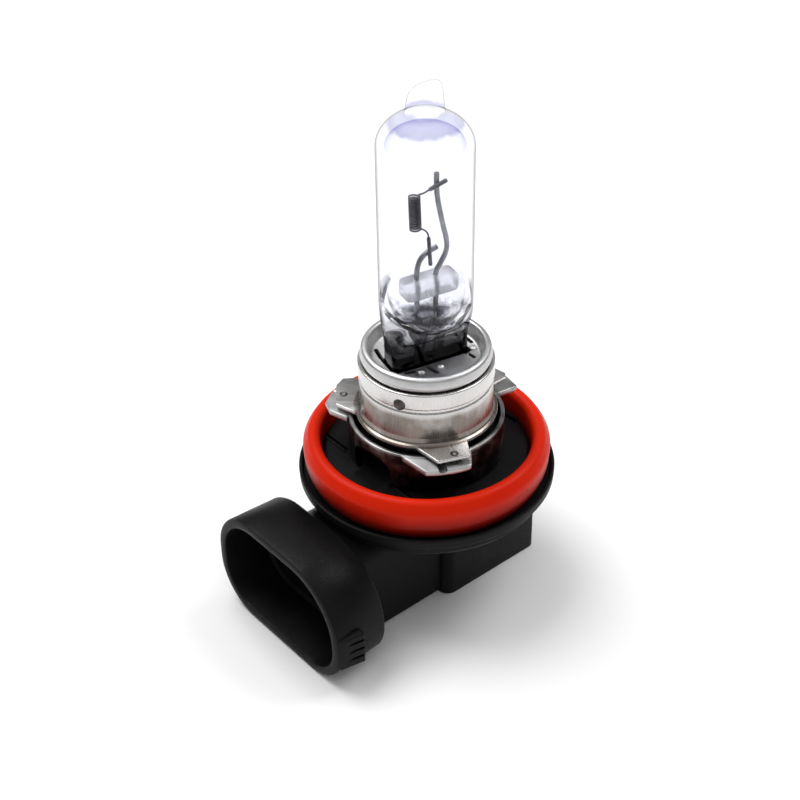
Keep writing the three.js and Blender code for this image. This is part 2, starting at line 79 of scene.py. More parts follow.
FLANGE_TOP = mount_height("seal_land")
RING_LOW, RING_HIGH = span("base_ring")
COLLAR_LOW, COLLAR_HIGH = span("reference_collar")
CUP_LOW, CUP_HIGH = span("holder_cup")
GLASS_LOW, GLASS_HIGH = span("glass_envelope")
BRIDGE_LOW, BRIDGE_HIGH = span("quartz_bridge")
BODY_LOW, BODY_HIGH = span("base_body")
SEAL_LOW, SEAL_HIGH = span("seal_ring")
BLADE_LOW, BLADE_HIGH = span("contact_blade_left")

LUG_AZIMUTHS = (-27, -147, 93)      # front, left and right lug, degrees from +X
CAPSULE_TURN = 77                   # direction of the pinch's long side, degrees from +X
HUB_TOP = FLANGE_TOP + 2.1
FLANGE_RADIUS = BODY_HIGH.x
CHANNEL_RADIUS = 12.6               # inner side of the channel that holds the seal
TURRET_RADIUS = 8.5
RING_RADIUS = 9.5
RING_SHEET = 0.55
COLLAR_BORE = 7.7
SLEEVE_RADIUS = 8.1
COLLAR_FOOT = 8.64                  # radius of the sleeve's flared foot
LUG_SHEET = 0.45
MOUTH_Y = BODY_LOW.y
GLASS_RADIUS = 5.5
GLASS_INNER = 4.5
PINCH_CLEAR = GLASS_LOW.z + 11.2    # where the painted shade at the foot of the pinch ends
SHOULDER = GLASS_HIGH.z - 7.7       # where the straight glass turns into the dome


# ---- Outlines and meshes ----

def rounded(corners, closed=False, step=15):
    """Points of an outline whose corners (x, y, radius) are rounded to their radius."""
    points = []
    count = len(corners)
    for i, corner in enumerate(corners):
        here = Vector(corner[:2])
        radius = corner[2] if len(corner) > 2 else 0
        if radius == 0 or (not closed and i in (0, count - 1)):
            points.append(here)
            continue
        to_last = (Vector(corners[i - 1][:2]) - here).normalized()
        to_next = (Vector(corners[(i + 1) % count][:2]) - here).normalized()
        half = to_last.angle(to_next) / 2
        centre = here + (to_last + to_next).normalized() * (radius / math.sin(half))
        first = here + to_last * (radius / math.tan(half)) - centre
        last = here + to_next * (radius / math.tan(half)) - centre
        sweep = math.pi - 2 * half
        steps = max(2, math.ceil(math.degrees(sweep) / step))
        for k in range(steps + 1):
            a, b = math.sin((1 - k / steps) * sweep), math.sin(k / steps * sweep)
            points.append(centre + (first * a + last * b) / math.sin(sweep))
    return points


def piece(name, vertices, faces, material, smooth=40):
    """A mesh object from vertices in millimetres, smooth except over edges sharper than the angle."""
    mesh = bpy.data.meshes.new(name)
    mesh.from_pydata([Vector(v) * MM for v in vertices], [], faces)
    body = bmesh.new()
    body.from_mesh(mesh)
    bmesh.ops.remove_doubles(body, verts=body.verts, dist=1e-7)
    bmesh.ops.recalc_face_normals(body, faces=body.faces)
    body.to_mesh(mesh)
    body.free()
    shape = bpy.data.objects.new(name, mesh)
    bpy.context.scene.collection.objects.link(shape)
    return refreshed(shape, material, smooth)


def refreshed(shape, material, smooth=40):
    """Gives the whole mesh one material, and smooth shading except over edges sharper than the angle."""
    mesh = shape.data
    mesh.materials.clear()
    if material is not None:
        mesh.materials.append(material)
    mesh.polygons.foreach_set("material_index", [0] * len(mesh.polygons))
    mesh.polygons.foreach_set("use_smooth", [True] * len(mesh.polygons))
    mesh.set_sharp_from_angle(angle=math.radians(smooth))
    mesh.update()
    return shape


def revolve(name, profile, material, sides=144, closed=False, smooth=40):
    """Turns (radius, height) points about the Z axis; an open profile starts and ends on the axis."""
    vertices = []
    rows = []
    for radius, height in profile:
        if radius < 1e-6:
            rows.append([len(vertices)] * sides)
            vertices.append((0, 0, height))
            continue
        rows.append(list(range(len(vertices), len(vertices) + sides)))
        for i in range(sides):
            angle = 2 * math.pi * i / sides
            vertices.append((radius * math.cos(angle), radius * math.sin(angle), height))
    pairs = list(zip(rows, rows[1:]))
    if closed:
        pairs.append((rows[-1], rows[0]))
    faces = []
    for low, high in pairs:
        for i in range(sides):
            j = (i + 1) % sides
            face = [low[i], low[j], high[j], high[i]]
            face = [v for k, v in enumerate(face) if v not in face[:k]]
            if len(face) > 2:
                faces.append(face)
    return piece(name, vertices, faces, material, smooth)


def loft(name, sections, material, smooth=40):
    """Skins closed sections that all have the same number of points, and caps both ends."""
    count = len(sections[0])
    vertices = [point for section in sections for point in section]
    faces = []
    for row in range(len(sections) - 1):
        for i in range(count):
            j = (i + 1) % count
            low, high = row * count, (row + 1) * count
            faces.append([low + i, low + j, high + j, high + i])
    faces.append(list(range(count))[::-1])
    faces.append([(len(sections) - 1) * count + i for i in range(count)])
    return piece(name, vertices, faces, material, smooth)


def spline(points, per_span=8):
    """A smooth curve through the points, as a list of points."""
    points = [Vector(p) for p in points]
    ends = [2 * points[0] - points[1]] + points + [2 * points[-1] - points[-2]]
    curve = []
    for a, b, c, d in zip(ends, ends[1:], ends[2:], ends[3:]):
        for k in range(per_span):
            t = k / per_span
            curve.append(0.5 * (
                2 * b + (c - a) * t + (2 * a - 5 * b + 4 * c - d) * t ** 2 + (3 * b - a - 3 * c + d) * t ** 3
            ))
    curve.append(points[-1])
    return curve


def tube(name, path, radius, material, sides=16):
    """A round wire along a path, its ends softly rounded."""
    path = [Vector(p) for p in path]
    last = len(path) - 1
    tangents = [(path[min(i + 1, last)] - path[max(i - 1, 0)]).normalized() for i in range(last + 1)]
    normal = tangents[0].orthogonal().normalized()
    end_rings = [(0.0, 0.7), (0.09, 0.88), (0.3, 1.0)]
    sections = []
    for i, (point, tangent) in enumerate(zip(path, tangents)):
        normal = (normal - tangent * normal.dot(tangent)).normalized()
        side = tangent.cross(normal)
        rings = [(0.0, 1.0)]
        if i == 0:
            rings = end_rings
        if i == last:
            rings = [(-shift, scale) for shift, scale in reversed(end_rings)]
        for shift, scale in rings:
            ring = []
            for k in range(sides):
                angle = 2 * math.pi * k / sides
                arm = normal * math.cos(angle) + side * math.sin(angle)
                ring.append(point + tangent * (shift * radius) + arm * (radius * scale))
            sections.append(ring)
    return loft(name, sections, material, 50)


def combine(target, tool, operation):
    """Joins a tool to a mesh or cuts it away, and removes the tool."""
    modifier = target.modifiers.new("cut", "BOOLEAN")
    modifier.object = tool
    modifier.operation = operation
    modifier.solver = "EXACT"
    bpy.context.view_layer.update()
    graph = bpy.context.evaluated_depsgraph_get()
    mesh = bpy.data.meshes.new_from_object(target.evaluated_get(graph))
    target.modifiers.clear()
    target.data = mesh
    bpy.data.objects.remove(tool)
    return target


def join(target, *tools):
    for tool in tools:
        combine(target, tool, "UNION")
    return target


def cut(target, *tools):
    for tool in tools:
        combine(target, tool, "DIFFERENCE")
    return target


def turned(shape, degrees):
    """Turns a mesh about the Z axis."""
    shape.data.transform(Matrix.Rotation(math.radians(degrees), 4, "Z"))
    return shape


def moved(shape, x, y, z=0.0):
    shape.data.transform(Matrix.Translation(Vector((x, y, z)) * MM))
    return shape


def slab(name, outline, low, high, edge=0.0, edge_steps=3):
    """An upright plate from an anticlockwise outline, its upper and lower edges rounded."""
    levels = [(low, 0.0), (high, 0.0)]
    if edge:
        arc = [math.radians(90 * k / edge_steps) for k in range(edge_steps + 1)]
        levels = [(low + edge * (1 - math.sin(a)), edge * (1 - math.cos(a))) for a in arc][::-1]
        levels += [(high - edge * (1 - math.sin(a)), edge * (1 - math.cos(a))) for a in arc]
    sections = []
    for height, inset in levels:
        sections.append([(x, y, height) for x, y in shrunk(outline, inset)])
    return loft(name, sections, None)


def shrunk(outline, amount):
    """The outline moved inwards by the amount."""
    if amount == 0:
        return [tuple(p) for p in outline]
    inner = []
    count = len(outline)
    for i, here in enumerate(outline):
        before = (here - outline[i - 1]).normalized()
        after = (outline[(i + 1) % count] - here).normalized()
        middle = before + after
        inward = Vector((-middle.y, middle.x)).normalized()
        stretch = max(0.5, inward.dot(Vector((-before.y, before.x))))
        inner.append(tuple(here + inward * (amount / stretch)))
    return inner


def box_outline(left, right, front, rear, radii, step=10):
    """An anticlockwise rectangle; its radii go front left, front right, rear right, rear left."""
    if not isinstance(radii, (tuple, list)):
        radii = (radii,) * 4
    return rounded([
        (left, front, radii[0]), (right, front, radii[1]), (right, rear, radii[2]), (left, rear, radii[3]),
    ], closed=True, step=step)


def settle(shape, slot, *nodes):
    """Rides the shape on the bulb's one body, in place of the CAD nodes named."""
    if nodes:
        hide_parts(*nodes)
    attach(shape, BODY)
    return shape


# ---- Materials ----

class Nodes:
    """Short names for the shader nodes of one material."""

    def __init__(self, name):
        self.material = bpy.data.materials.new(name)
        self.material.use_nodes = True
        self.tree = self.material.node_tree
        self.shader = self.tree.nodes["Principled BSDF"]
        self.place = self.tree.nodes.new("ShaderNodeTexCoord").outputs["Object"]

    def set(self, **values):
        for key, value in values.items():
            self.shader.inputs[key.replace("_", " ")].default_value = value
        return self

    def link(self, output, socket):
        target = self.shader.inputs[socket] if isinstance(socket, str) else socket
        self.tree.links.new(output, target)
        return self

    def node(self, kind, **settings):
        made = self.tree.nodes.new("ShaderNode" + kind)
        for key, value in settings.items():
            setattr(made, key, value)
        return made

    def noise(self, scale, detail=3.0, roughness=0.5, vector=None):
        made = self.node("TexNoise")
        made.inputs["Scale"].default_value = scale
        made.inputs["Detail"].default_value = detail
        made.inputs["Roughness"].default_value = roughness
        self.tree.links.new(vector or self.place, made.inputs["Vector"])
        return made.outputs["Fac"]

    def spread(self, value, low, high, from_low=0.0, from_high=1.0):
        made = self.node("MapRange")
        made.inputs["From Min"].default_value = from_low
        made.inputs["From Max"].default_value = from_high
        made.inputs["To Min"].default_value = low
        made.inputs["To Max"].default_value = high
        self.tree.links.new(value, made.inputs["Value"])
        return made.outputs["Result"]

    def ramp(self, value, *stops):
        made = self.node("ValToRGB")
        elements = made.color_ramp.elements
        while len(elements) < len(stops):
            elements.new(0.5)
        for element, (position, colour) in zip(elements, stops):
            element.position = position
            element.color = (*colour, 1)
        self.tree.links.new(value, made.inputs["Fac"])
        return made.outputs["Color"]

    def math(self, operation, first, second=0.0):
        made = self.node("Math", operation=operation)
        for socket, value in zip(made.inputs, (first, second)):
            if isinstance(value, (int, float)):
                socket.default_value = value
            else:
                self.tree.links.new(value, socket)
        return made.outputs["Value"]

    def shader_mix(self, share, first, second):
        made = self.node("MixShader")
        for socket, value in zip(made.inputs, (share, first, second)):
            self.tree.links.new(value, socket)
        return made.outputs["Shader"]

    def radius(self):
        """The distance from the Z axis."""
        parts = self.node("SeparateXYZ")
        self.tree.links.new(self.place, parts.inputs["Vector"])
        squares = [self.math("MULTIPLY", parts.outputs[k], parts.outputs[k]) for k in "XY"]
        return self.math("SQRT", self.math("ADD", *squares))

    def angle(self):
        """The direction round the Z axis, from 0 to 1."""
        parts = self.node("SeparateXYZ")
        self.tree.links.new(self.place, parts.inputs["Vector"])
        turn = self.math("ARCTAN2", parts.outputs["Y"], parts.outputs["X"])
        return self.spread(turn, 0.0, 1.0, -math.pi, math.pi)

    def height(self):
        parts = self.node("SeparateXYZ")
        self.tree.links.new(self.place, parts.inputs["Vector"])
        return parts.outputs["Z"]

    def bump(self, height, strength, distance):
        made = self.node("Bump")
        made.inputs["Strength"].default_value = strength
        made.inputs["Distance"].default_value = distance
        self.tree.links.new(height, made.inputs["Height"])
        self.link(made.outputs["Normal"], "Normal")
        return self


def black_moulding():
    n = Nodes("black_glass_filled_nylon")
    n.set(Metallic=0.0, IOR=1.5, Specular_IOR_Level=0.10)
    grain = n.noise(2600, 4)
    cloud = n.noise(160, 3)
    n.link(n.ramp(cloud, (0.3, (0.0035, 0.0035, 0.004)), (0.7, (0.007, 0.007, 0.0075))), "Base Color")
    n.link(n.spread(n.math("ADD", grain, cloud), 0.34, 0.52, 0.7, 1.3), "Roughness")
    n.bump(grain, 0.5, 0.00005)
    return n.material


def seal_rubber():
    n = Nodes("orange_red_silicone")
    n.set(Metallic=0.0, IOR=1.4, Specular_IOR_Level=0.12, Coat_Weight=0.04, Coat_Roughness=0.22)
    cloud = n.noise(220, 4)
    grain = n.noise(1900, 5)
    # Painted shade: the colour darkens from FLANGE_TOP + 3.3 down to FLANGE_TOP + 0.9, standing in for the
    # shade on the seal's lower side.
    rise = n.spread(n.height(), 0.0, 1.0, (FLANGE_TOP + 0.9) * MM, (FLANGE_TOP + 3.3) * MM)
    shade = n.math("ADD", n.math("MULTIPLY", cloud, 0.25), n.math("MULTIPLY", rise, 0.8))
    n.link(n.ramp(shade, (0.12, (0.16, 0.004, 0.001)), (0.55, (0.46, 0.009, 0.001)),
                  (0.9, (0.66, 0.016, 0.001))), "Base Color")
    n.link(n.spread(grain, 0.34, 0.5, 0.3, 0.7), "Roughness")
    n.bump(grain, 0.25, 0.00005)
    return n.material


def bright_steel(name, lines, rough, tint, foot=None, foot_top=0.0, lug_radius=100.0):
    """Pressed sheet steel: drawing lines up its walls, smudges, and a darker foot colour below foot_top and
    inside the lugs' radius; on the ring this foot is painted shade.
    """
    n = Nodes(name)
    n.set(Metallic=1.0)
    marks = n.node("CombineXYZ")
    n.tree.links.new(n.math("MULTIPLY", n.angle(), lines), marks.inputs["X"])
    n.tree.links.new(n.math("MULTIPLY", n.height(), 60.0), marks.inputs["Y"])
    drawn = n.noise(1.0, 2, vector=marks.outputs["Vector"])
    cloud = n.noise(300, 4)
    fine = n.noise(1400, 3)
    # The foot colour holds below foot_top and inside lug_radius; the ring uses it for painted shade.
    rise = n.spread(n.height(), 0.0, 0.5, (foot_top - 0.9) * MM, (foot_top + 0.3) * MM)
    lugs = n.spread(n.radius(), 0.0, 0.32, lug_radius * MM, (lug_radius + 0.25) * MM)
    shade = n.math("ADD", n.math("MULTIPLY", cloud, 0.7), n.math("MAXIMUM", rise, lugs))
    low = foot or tuple(0.8 * c for c in tint)
    bright = tuple(1.2 * c for c in tint)
    n.link(n.ramp(shade, (0.34, low), (0.62, tint), (0.95, bright)), "Base Color")
    blotch = n.math("ADD", n.math("MULTIPLY", cloud, 0.5), n.math("MULTIPLY", drawn, 0.5))
    n.link(n.spread(blotch, rough, rough + 0.18, 0.35, 0.65), "Roughness")
    n.bump(n.math("ADD", drawn, n.math("MULTIPLY", fine, 0.4)), 0.12, 0.00002)
    return n.material


def wire_metal(name, dark, light, rough):
    n = Nodes(name)
    n.set(Metallic=1.0)
    grain = n.noise(5200, 4)
    bands = n.noise(900, 2)
    n.link(n.ramp(bands, (0.3, dark), (0.7, light)), "Base Color")
    n.link(n.spread(grain, rough - 0.08, rough + 0.1), "Roughness")
    n.bump(grain, 0.3, 0.00002)
    return n.material


def clear_quartz(name, clear_from, shoulder, wall):
    """Quartz, painted dark at the foot of the pinch, clear up the bulb and painted lavender in the thick
    dome.

    Above the pinch most light goes straight through. The dark foot is painted shade in place of the dark
    foils and base seen through the pinch, and the dome's lavender-grey bands are painted in place of light
    bent through the thick glass. The outer surface turns grey where it is seen edge-on, a painted outline,
    and the dome inside turns lavender, also painted; the wall gives the inner surface's radius.
    """
    n = Nodes(name)
    n.set(Metallic=0.0, IOR=1.27, Transmission_Weight=1.0)
    ripple, swirl, speckle = n.noise(260, 3), n.noise(800, 5), n.noise(1500, 3)
    wobble = n.math("MULTIPLY", n.math("SUBTRACT", n.math("ADD", ripple, speckle), 1.0), 0.004)
    # Painted shade: the colour ramps from near black at the pinch's foot up to clear, standing in for the
    # dark foils and base seen through the pinch.
    foot = n.spread(n.math("ADD", n.height(), wobble), 0.0, 1.0, (clear_from - 2.4) * MM, clear_from * MM)
    body = n.ramp(foot, (0.0, (0.05, 0.05, 0.055)), (0.6, (0.32, 0.32, 0.33)), (1.0, (0.93, 0.935, 0.985)))
    # Painted light and shade: the lavender-grey bands up the dome stand in for light bent through the thick
    # glass; they colour the transparent share as well.
    level = n.math("ADD", n.height(), n.math("MULTIPLY", n.math("SUBTRACT", swirl, 0.5), 0.0010))
    dome = n.spread(level, 0.0, 1.0, (shoulder + 2.5) * MM, (shoulder + 5.7) * MM)
    tint = n.ramp(dome, (0.0, (0.966, 0.970, 0.993)), (0.10, (0.57, 0.57, 0.70)), (0.30, (0.68, 0.68, 0.81)),
                  (0.48, (0.60, 0.60, 0.74)), (0.62, (0.90, 0.90, 0.95)), (1.0, (0.94, 0.94, 0.975)))
    painted_glass_colour = n.node("Mix", data_type="RGBA", blend_type="MULTIPLY")
    painted_glass_colour.inputs["Factor"].default_value = 1.0
    n.tree.links.new(body, painted_glass_colour.inputs["A"])
    n.tree.links.new(tint, painted_glass_colour.inputs["B"])
    n.link(painted_glass_colour.outputs["Result"], "Base Color")
    n.link(n.spread(n.noise(420, 2), 0.0, 0.012, 0.45, 0.8), "Roughness")
    n.bump(ripple, 0.03, 0.0001)

    clear = n.node("BsdfTransparent")
    n.tree.links.new(tint, clear.inputs["Color"])
    share = n.spread(n.height(), 0.0, 0.96, (clear_from + 2.8) * MM, (clear_from + 4.4) * MM)
    glass = n.shader_mix(share, n.shader.outputs["BSDF"], clear.outputs["BSDF"])

    # Painted outline: the outer surface turns grey where it is seen edge-on, and the inner dome lavender as
    # it turns away, standing in for the refraction at these edges.
    outside = n.math("MAXIMUM", n.spread(n.radius(), 0.0, 1.0, (wall + 0.04) * MM, (wall + 0.06) * MM),
                     n.spread(n.height(), 0.0, 1.0, (shoulder + 2.42) * MM, (shoulder + 2.46) * MM))
    above = n.spread(n.height(), 0.0, 1.0, (shoulder - 0.4) * MM, (shoulder + 0.5) * MM)
    inner_dome = n.math("SUBTRACT", above, outside)
    edge = n.node("BsdfTransparent")
    painted_edge_colour = n.ramp(outside, (0.0, (0.74, 0.74, 0.88)), (1.0, (0.66, 0.66, 0.66)))
    n.tree.links.new(painted_edge_colour, edge.inputs["Color"])
    facing = n.node("LayerWeight")
    facing.inputs["Blend"].default_value = 0.5
    thin = n.math("MULTIPLY", n.spread(facing.outputs["Facing"], 0.0, 1.0, 0.66, 0.82), outside)
    broad = n.math("MULTIPLY", n.spread(facing.outputs["Facing"], 0.0, 1.0, 0.35, 0.75), inner_dome)
    whole = n.shader_mix(n.math("MAXIMUM", thin, broad), glass, edge.outputs["BSDF"])
    n.tree.links.new(whole, n.tree.nodes["Material Output"].inputs["Surface"])
    return n.material


def frosted_quartz():
    n = Nodes("frosted_quartz")
    n.set(Metallic=0.0, IOR=1.2, Transmission_Weight=0.84)
    cloud = n.noise(700, 4)
    n.link(n.ramp(cloud, (0.3, (0.86, 0.86, 0.87)), (0.7, (0.98, 0.98, 0.98))), "Base Color")
    n.link(n.spread(cloud, 0.2, 0.42), "Roughness")
    n.bump(cloud, 0.3, 0.0002)
    return n.material


def tinned_metal():
    n = Nodes("tinned_contact")
    n.set(Metallic=1.0)
    grain = n.noise(1500, 4)
    n.link(n.ramp(grain, (0.3, (0.55, 0.53, 0.49)), (0.7, (0.72, 0.70, 0.66))), "Base Color")
    n.link(n.spread(grain, 0.26, 0.42), "Roughness")
    n.bump(grain, 0.2, 0.00003)
    return n.material


def dark_resin():
    n = Nodes("potting_resin")
    n.set(Metallic=0.0)
    cloud = n.noise(500, 4)
    n.link(n.ramp(cloud, (0.3, (0.02, 0.016, 0.014)), (0.7, (0.05, 0.04, 0.034))), "Base Color")
    n.link(n.spread(cloud, 0.35, 0.6), "Roughness")
    n.bump(cloud, 0.3, 0.0001)
    return n.material


BLACK = black_moulding()
RED = seal_rubber()
COLLAR_STEEL = bright_steel(
    "drawn_steel", 420.0, 0.16, (0.56, 0.55, 0.54), foot=(0.22, 0.19, 0.17),
    foot_top=COLLAR_LOW.z + 4.8, lug_radius=8.7)
CUP_STEEL = bright_steel("pressed_cup_steel", 90.0, 0.32, (0.52, 0.52, 0.52))
# Painted shade: the ring's wall and rim take a near-black foot colour, standing in for the shade and dark
# reflections beside the seal; the lugs beyond 9.6 mm stay bright.
RING_STEEL = bright_steel(
    "ring_steel", 60.0, 0.26, (0.42, 0.42, 0.42), foot=(0.016, 0.014, 0.014),
    foot_top=RING_HIGH.z + 0.5, lug_radius=9.6)
SCORCHED = wire_metal("scorched_weld", (0.04, 0.04, 0.04), (0.18, 0.17, 0.165), 0.5)
TUNGSTEN = wire_metal("tungsten", (0.03, 0.03, 0.031), (0.12, 0.12, 0.122), 0.38)
MOLYBDENUM = wire_metal("molybdenum", (0.16, 0.16, 0.165), (0.28, 0.28, 0.29), 0.3)
CRIMP = wire_metal("crimp_molybdenum", (0.06, 0.06, 0.062), (0.14, 0.14, 0.145), 0.34)
QUARTZ = clear_quartz("clear_quartz", PINCH_CLEAR, SHOULDER, GLASS_INNER)
FROSTED = frosted_quartz()
TIN = tinned_metal()
RESIN = dark_resin()


# ---- Moulded base ----

SHROUD_OUTLINE = ((-12.15, 0.0), (11.4, 15.2))      # lower left and upper right corner, as X and Z
SHROUD_RADII = (6.2, 5.8, 8.6, 7.2)
SHROUD_REAR_Y = -16.1
SOCKET_FLOOR_Y = -17.3
POCKET_FLOOR_Y = -13.6
POCKET_HALF_WIDTH, POCKET_HALF_HEIGHT = 5.0, 3.4
BLOCK_LEFT, BLOCK_RIGHT, BLOCK_FRONT, BLOCK_REAR = -7.4, 7.4, -3.2, 12.2
BLADE_OFFSET = 3.2                  # from the socket's middle plane to each blade's
BLADE_HEIGHT = (BLADE_LOW.z + BLADE_HIGH.z) / 2
WINDOW_AZIMUTH = -87                # degrees from +X


def flange_and_turret():
    top = FLANGE_TOP
    return revolve("base_moulding", rounded([
        (0, top - 3), (14.6, top - 3, 0.2), (15.1, top - 2.4, 0.2), (15.1, top - 1.3, 0.15),
        (15.8, top - 1.25, 0.2), (FLANGE_RADIUS, top, 0.18), (15.4, top, 0.12), (15.35, top - 0.8, 0.15),
        (CHANNEL_RADIUS, top - 0.8), (CHANNEL_RADIUS, HUB_TOP, 0.3), (TURRET_RADIUS, HUB_TOP, 0.25),
        (TURRET_RADIUS, top + 5.9, 0.3), (0, top + 5.9),
    ]), BLACK, sides=192)


def shroud():
    (left, bottom), (right, top) = SHROUD_OUTLINE
    outline = box_outline(left, right, bottom, top, SHROUD_RADII, step=7)
    walls = [
        (SHROUD_REAR_Y, 0.9), (SHROUD_REAR_Y - 0.12, 0.52), (SHROUD_REAR_Y - 0.45, 0.3),
        (MOUTH_Y + 0.4, 0.0), (MOUTH_Y + 0.12, 0.1), (MOUTH_Y, 0.36),
        (MOUTH_Y, 1.0), (MOUTH_Y + 0.08, 1.2), (MOUTH_Y + 0.35, 1.3),
        (SOCKET_FLOOR_Y - 0.4, 1.42), (SOCKET_FLOOR_Y, 1.8),
    ]
    sections = [[(x, y, z) for x, z in shrunk(outline, inset)] for y, inset in walls]
    return loft("shroud", sections, BLACK)


def neck():
    half, flare = 6.1, 1.0
    outline = box_outline(-half, half, 0.15, FLANGE_TOP - 2.5, (0.6, 0.6, 3.6, 3.6), step=10)
    stations = [(3.0, 0.0), (SHROUD_REAR_Y + flare, 0.0)]
    for k in range(1, 6):
        angle = math.radians(90 * k / 5)
        stations.append((SHROUD_REAR_Y + flare * (1 - math.sin(angle)), flare * (1 - math.cos(angle)) * 0.6))
    stations.append((SHROUD_REAR_Y - 0.5, flare * 0.6))
    sections = [[(x, y, max(z, 0.1)) for x, z in shrunk(outline, -grow)] for y, grow in stations]
    return loft("neck", sections, BLACK)


def grip_block():
    outline = box_outline(BLOCK_LEFT, BLOCK_RIGHT, BLOCK_FRONT, BLOCK_REAR, (1.5, 1.5, 0.8, 0.8))
    return slab("grip_block", outline, 0, FLANGE_TOP - 2.6, edge=0.2)


def latch_ramp():
    wall, depth = SHROUD_OUTLINE[1][0], 3.6
    outline = rounded([
        (wall - 0.9, MOUTH_Y + 0.25), (wall + 0.05, MOUTH_Y + 0.25, 0.3),
        (wall + 0.75, MOUTH_Y + depth, 0.3), (wall - 0.9, MOUTH_Y + depth),
    ], closed=True)
    ramp = slab("ramp", outline, 3.7, 8.3, edge=0.2)
    for height in (4.7, 5.9, 7.1):
        groove = rounded([
            (wall + 0.2, MOUTH_Y - 1), (wall + 2, MOUTH_Y - 1),
            (wall + 2, MOUTH_Y + 5), (wall + 0.35, MOUTH_Y + 5),
        ], closed=True)
        cut(ramp, slab("groove", groove, height, height + 0.36))
    return ramp


def lead_window():
    """An oval tool that points outwards, for the opening in the ring's wall and the hollow behind it."""
    low, high, half = HUB_TOP - 0.3, RING_HIGH.z - 1.4, 3.1
    centre, rise = (low + high) / 2, (high - low) / 2
    outline = []
    for k in range(48):
        c, s = math.cos(2 * math.pi * k / 48), math.sin(2 * math.pi * k / 48)
        outline.append(Vector((
            -rise * math.copysign(abs(c) ** 0.75, c), half * math.copysign(abs(s) ** 0.75, s),
        )))
    tool = slab("window", outline[::-1], 6.9, 10.2)
    tool.data.transform(Matrix.Rotation(math.pi / 2, 4, "Y"))
    return turned(moved(tool, 0, 0, centre), WINDOW_AZIMUTH)


def hub_marks(base):
    """Three straight grooves in the hub, each with a low rib along it."""
    for x, y, half in ((-7.6, -8.0, 2.1), (5.0, -8.1, 1.8), (2.1, 11.4, 1.9)):
        side = -1 if y < 0 else 1
        groove = box_outline(x - half, x + half, y - 0.17, y + 0.17, 0.15)
        cut(base, slab("groove", groove, HUB_TOP - 0.4, HUB_TOP + 2))
        rib = box_outline(x - half, x + half, y + side * 0.45 - 0.15, y + side * 0.45 + 0.15, 0.14)
        join(base, slab("rib", rib, HUB_TOP - 0.3, HUB_TOP + 0.16, edge=0.06))


def base_moulding():
    base = join(flange_and_turret(), grip_block(), neck(), join(shroud(), latch_ramp()))
    pocket = box_outline(-POCKET_HALF_WIDTH, POCKET_HALF_WIDTH,
                         BLADE_HEIGHT - POCKET_HALF_HEIGHT, BLADE_HEIGHT + POCKET_HALF_HEIGHT, 1.0)
    walls = [(SOCKET_FLOOR_Y - 1, 0.0), (POCKET_FLOOR_Y - 0.3, 0.08), (POCKET_FLOOR_Y, 0.35)]
    cut(base, loft("pocket", [[(x, y, z) for x, z in shrunk(pocket, inset)] for y, inset in walls], None))
    for side in (-1, 1):
        centre = side * BLADE_OFFSET
        slot = box_outline(centre - 1.5, centre + 1.5, POCKET_FLOOR_Y - 1, -10.0, 0.1)
        cut(base, slab("slot", slot, BLADE_HEIGHT - 0.5, BLADE_HEIGHT + 0.5))
    cut(base, slab("cover_seat", box_outline(-6.3, 6.3, -2.4, 11.1, 0.35), -1, 1.55))
    cut(base, slab("cavity", box_outline(-5.6, 5.6, -10.6, 10.4, 0.5), 1.5, 12.4))
    cut(base, revolve("bore", [
        (0, 11), (5, 11), (5, FLANGE_TOP), (6.6, FLANGE_TOP), (6.6, 30), (0, 30),
    ], None, 64))
    cut(base, lead_window())
    hub_marks(base)
    return settle(refreshed(base, BLACK), "black_moulding", "base_body")


def seal():
    low, high, outer = SEAL_LOW.z, SEAL_HIGH.z, SEAL_HIGH.x
    profile = rounded([
        (12.95, low, 0.3), (14.45, low, 0.3), (outer - 0.15, FLANGE_TOP + 1.0, 1.6),
        (outer + 0.02, high - 1.4, 1.3), (14.3, high + 0.02, 0.9), (12.98, high - 0.25, 1.0),
    ], closed=True, step=8)
    ring = revolve("silicone_seal", profile, RED, sides=192, closed=True, smooth=60)
    return settle(ring, "red_seal", "seal_ring")


# ---- Steel ring, collar and cup ----

def lug(outline, inner, low, high, edge):
    """A flat lug along +X, trimmed inside to the round wall that it grows from."""
    plate = slab("lug", rounded(outline, closed=True), low, high, edge=edge)
    return cut(plate, revolve("bore", [(0, 0), (inner, 0), (inner, 70), (0, 70)], None, sides=96))


def weld_nugget(radius, middle):
    """A low scorched ring left by a spot weld.

    It faces up at the origin, and its middle has the height given.
    """
    return revolve("nugget", [
        (0, -0.12), (radius * 1.2, -0.12), (radius * 1.2, 0.01), (radius, 0.055), (radius * 0.75, 0.05),
        (radius * 0.45, middle), (0, middle - 0.005),
    ], None, sides=32)


SLEEVE_WELDS = (-63.5, 56.5, 176.5)     # degrees from +X


def weld_nuggets():
    """One spot weld on each collar lug and three round the sleeve."""
    low, high = COLLAR_LOW.z, COLLAR_HIGH.z
    welds = []
    for azimuth in LUG_AZIMUTHS:
        welds.append(turned(moved(weld_nugget(0.42, -0.015), 10.3, 0.75, low + LUG_SHEET), azimuth))
    for azimuth in SLEEVE_WELDS:
        nugget = weld_nugget(0.62, 0.02)
        nugget.data.transform(Matrix.Rotation(math.pi / 2, 4, "Y"))
        welds.append(turned(moved(nugget, SLEEVE_RADIUS + 0.1, 0, high - 1.6), azimuth))
    whole = join(*welds)
    whole.name = "weld_nuggets"
    settle(refreshed(whole, SCORCHED), "bright_steel")


